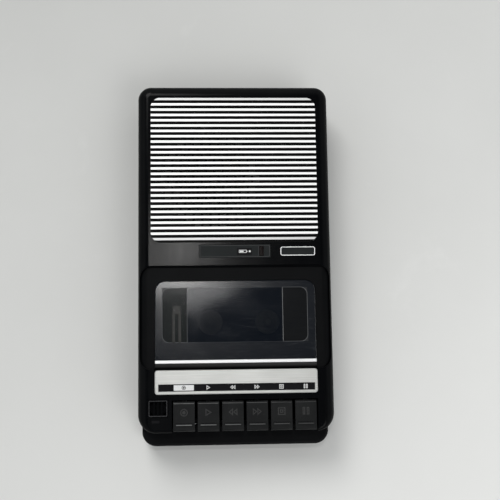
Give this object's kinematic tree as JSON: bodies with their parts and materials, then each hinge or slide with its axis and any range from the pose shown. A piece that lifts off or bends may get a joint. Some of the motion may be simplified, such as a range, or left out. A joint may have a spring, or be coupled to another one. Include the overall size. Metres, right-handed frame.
{
  "type": "portable cassette recorder",
  "caption": "Flat portable cassette recorder with a barred speaker grille, smoked cassette door, silver plate, piano keys and a pull-out handle.",
  "frame": {"origin": "centre of the footprint, on the plane the rubber feet rest on", "axes": "+X to the right of the front face, +Y from the keys to the loudspeaker end, +Z out of the front face"},
  "size_m": [0.142, 0.267, 0.05],
  "materials": {
    "case_black": "fine leather-like grain, satin",
    "door_smoke": "polished dark plastic",
    "grille_black": "matt moulded",
    "bright_strip": "polished, bevelled edges",
    "brushed_plate": "brushed lengthways",
    "lamp_red": "clear red lens",
    "key_black": "satin, lightly polished by fingers",
    "rubber_black": "matt",
    "steel": "zinc plated",
    "spring_steel": "bright drawn",
    "polished_steel": "ground and polished",
    "magnet": "sintered, dark",
    "paper": "pressed paper pulp",
    "brass": "machined",
    "white_plastic": "moulded, smooth",
    "board_brown": "pressed board with solder resist",
    "mixed_parts": "sleeved cans and moulded cases",
    "iron_core": "stacked iron sheets, varnished",
    "foot_grey": "matt, dusty"
  },
  "bodies": {
    "case": {"front_cabinet": "case_black", "rear_cabinet": "case_black", "cabinet_screws": "steel", "rubber_feet": "foot_grey", "grille_panel": "grille_black", "grille_bars": "bright_strip", "indicator_panel": "case_black", "indicator_led": "lamp_red", "badge_plate": "bright_strip", "nameplate": "brushed_plate", "mic_grille": "case_black", "mic_capsule": "steel", "speaker_frame": "steel", "speaker_cone": "paper", "speaker_magnet": "magnet", "key_shaft": "polished_steel", "key_brackets": "steel", "key_springs": "spring_steel", "deck_plate": "steel", "deck_screws": "steel", "capstan_bearing": "brass", "flywheel_bracket": "steel", "motor": "steel", "drive_belt": "rubber_black", "circuit_board": "board_brown", "board_spacers": "case_black", "board_components": "mixed_parts", "transformer": "iron_core", "control_board": "board_brown", "control_pots": "steel", "ear_jack": "case_black", "mic_jack": "case_black", "ac_inlet": "case_black", "dc_jack": "case_black", "battery_contacts": "spring_steel"},
    "door": {"door_frame": "case_black", "door_window": "door_smoke", "door_trim": "bright_strip", "cassette_springs": "spring_steel"},
    "flywheel": {"flywheel": "steel", "capstan_shaft": "polished_steel"},
    "motor_pulley": {"motor_pulley": "brass"},
    "supply_spindle": {"supply_spindle": "white_plastic"},
    "takeup_spindle": {"takeup_spindle": "white_plastic"},
    "head_slide": {"head_plate": "steel", "play_head": "polished_steel", "erase_head": "case_black"},
    "pinch_arm": {"pinch_arm": "steel"},
    "pinch_roller": {"pinch_roller": "rubber_black"},
    "volume_wheel": {"volume_wheel": "key_black"},
    "tone_wheel": {"tone_wheel": "key_black"},
    "battery_cover": {"battery_cover": "case_black"},
    "handle": {"handle": "case_black"},
    "record_key": {"record_key": "key_black"},
    "play_key": {"play_key": "key_black"},
    "rewind_key": {"rewind_key": "key_black"},
    "forward_key": {"forward_key": "key_black"},
    "stop_key": {"stop_key": "key_black"},
    "pause_key": {"pause_key": "key_black"}
  },
  "joints": [
    {"name": "door_swing", "type": "hinge", "parent": "case", "child": "door", "pos_m": [0, -0.0734, 0.0442], "axis": [1, 0, 0], "range_deg": [0, 40]},
    {"name": "handle_slide", "type": "slide", "parent": "case", "child": "handle", "axis": [0, -1, 0], "range_m": [0, 0.038]},
    {"name": "battery_cover_swing", "type": "hinge", "parent": "case", "child": "battery_cover", "pos_m": [0.0382, 0.0229, 0.002], "axis": [-1, 0, 0], "range_deg": [0, 75]},
    {"name": "volume_turn", "type": "hinge", "parent": "case", "child": "volume_wheel", "pos_m": [0.0616, 0.006, 0.0267], "axis": [0, 0, 1], "range_deg": [0, 270]},
    {"name": "tone_turn", "type": "hinge", "parent": "case", "child": "tone_wheel", "pos_m": [0.0616, -0.014, 0.0267], "axis": [0, 0, 1], "range_deg": [0, 270]},
    {"name": "flywheel_spin", "type": "hinge", "parent": "case", "child": "flywheel", "pos_m": [0.027, -0.0721, 0.012], "axis": [0, 0, 1], "continuous": true},
    {"name": "motor_spin", "type": "hinge", "parent": "case", "child": "motor_pulley", "pos_m": [-0.037, -0.0661, 0.012], "axis": [0, 0, 1], "continuous": true},
    {"name": "supply_spin", "type": "hinge", "parent": "case", "child": "supply_spindle", "pos_m": [-0.01825, -0.0431, 0.031], "axis": [0, 0, 1], "continuous": true},
    {"name": "takeup_spin", "type": "hinge", "parent": "case", "child": "takeup_spindle", "pos_m": [0.02425, -0.0431, 0.031], "axis": [0, 0, 1], "continuous": true},
    {"name": "head_slide", "type": "slide", "parent": "case", "child": "head_slide", "axis": [0, 1, 0], "range_m": [0, 0.0036], "stiffness_N_per_m": 20, "springref_m": -0.002},
    {"name": "pinch_arm_swing", "type": "hinge", "parent": "case", "child": "pinch_arm", "pos_m": [0.04403, -0.0841, 0.032], "axis": [0, 0, -1], "range_deg": [0, 13.2]},
    {"name": "pinch_roller_spin", "type": "hinge", "parent": "pinch_arm", "child": "pinch_roller", "pos_m": [0.028, -0.0831, 0.036], "axis": [0, 0, 1], "continuous": true},
    {"name": "record_press", "type": "hinge", "parent": "case", "child": "record_key", "pos_m": [0, -0.096, 0.039], "axis": [1, 0, 0], "range_deg": [0, 11], "stiffness_Nm_per_rad": 0.05, "springref_deg": -9.74},
    {"name": "play_press", "type": "hinge", "parent": "case", "child": "play_key", "pos_m": [0, -0.096, 0.039], "axis": [1, 0, 0], "range_deg": [0, 11]},
    {"name": "rewind_press", "type": "hinge", "parent": "case", "child": "rewind_key", "pos_m": [0, -0.096, 0.039], "axis": [1, 0, 0], "range_deg": [0, 11], "stiffness_Nm_per_rad": 0.05, "springref_deg": -9.74},
    {"name": "forward_press", "type": "hinge", "parent": "case", "child": "forward_key", "pos_m": [0, -0.096, 0.039], "axis": [1, 0, 0], "range_deg": [0, 11], "stiffness_Nm_per_rad": 0.05, "springref_deg": -9.74},
    {"name": "stop_press", "type": "hinge", "parent": "case", "child": "stop_key", "pos_m": [0, -0.096, 0.039], "axis": [1, 0, 0], "range_deg": [0, 11], "stiffness_Nm_per_rad": 0.05, "springref_deg": -9.74},
    {"name": "pause_press", "type": "hinge", "parent": "case", "child": "pause_key", "pos_m": [0, -0.096, 0.039], "axis": [1, 0, 0], "range_deg": [0, 11], "stiffness_Nm_per_rad": 0.05, "springref_deg": -9.74}
  ],
  "couplings": [
    {"joint": "motor_spin", "follows": "flywheel_spin", "ratio": 5},
    {"joint": "play_press", "follows": "head_slide", "rad_per_m": 53.33},
    {"joint": "pinch_arm_swing", "follows": "head_slide", "rad_per_m": 63.026}
  ]
}
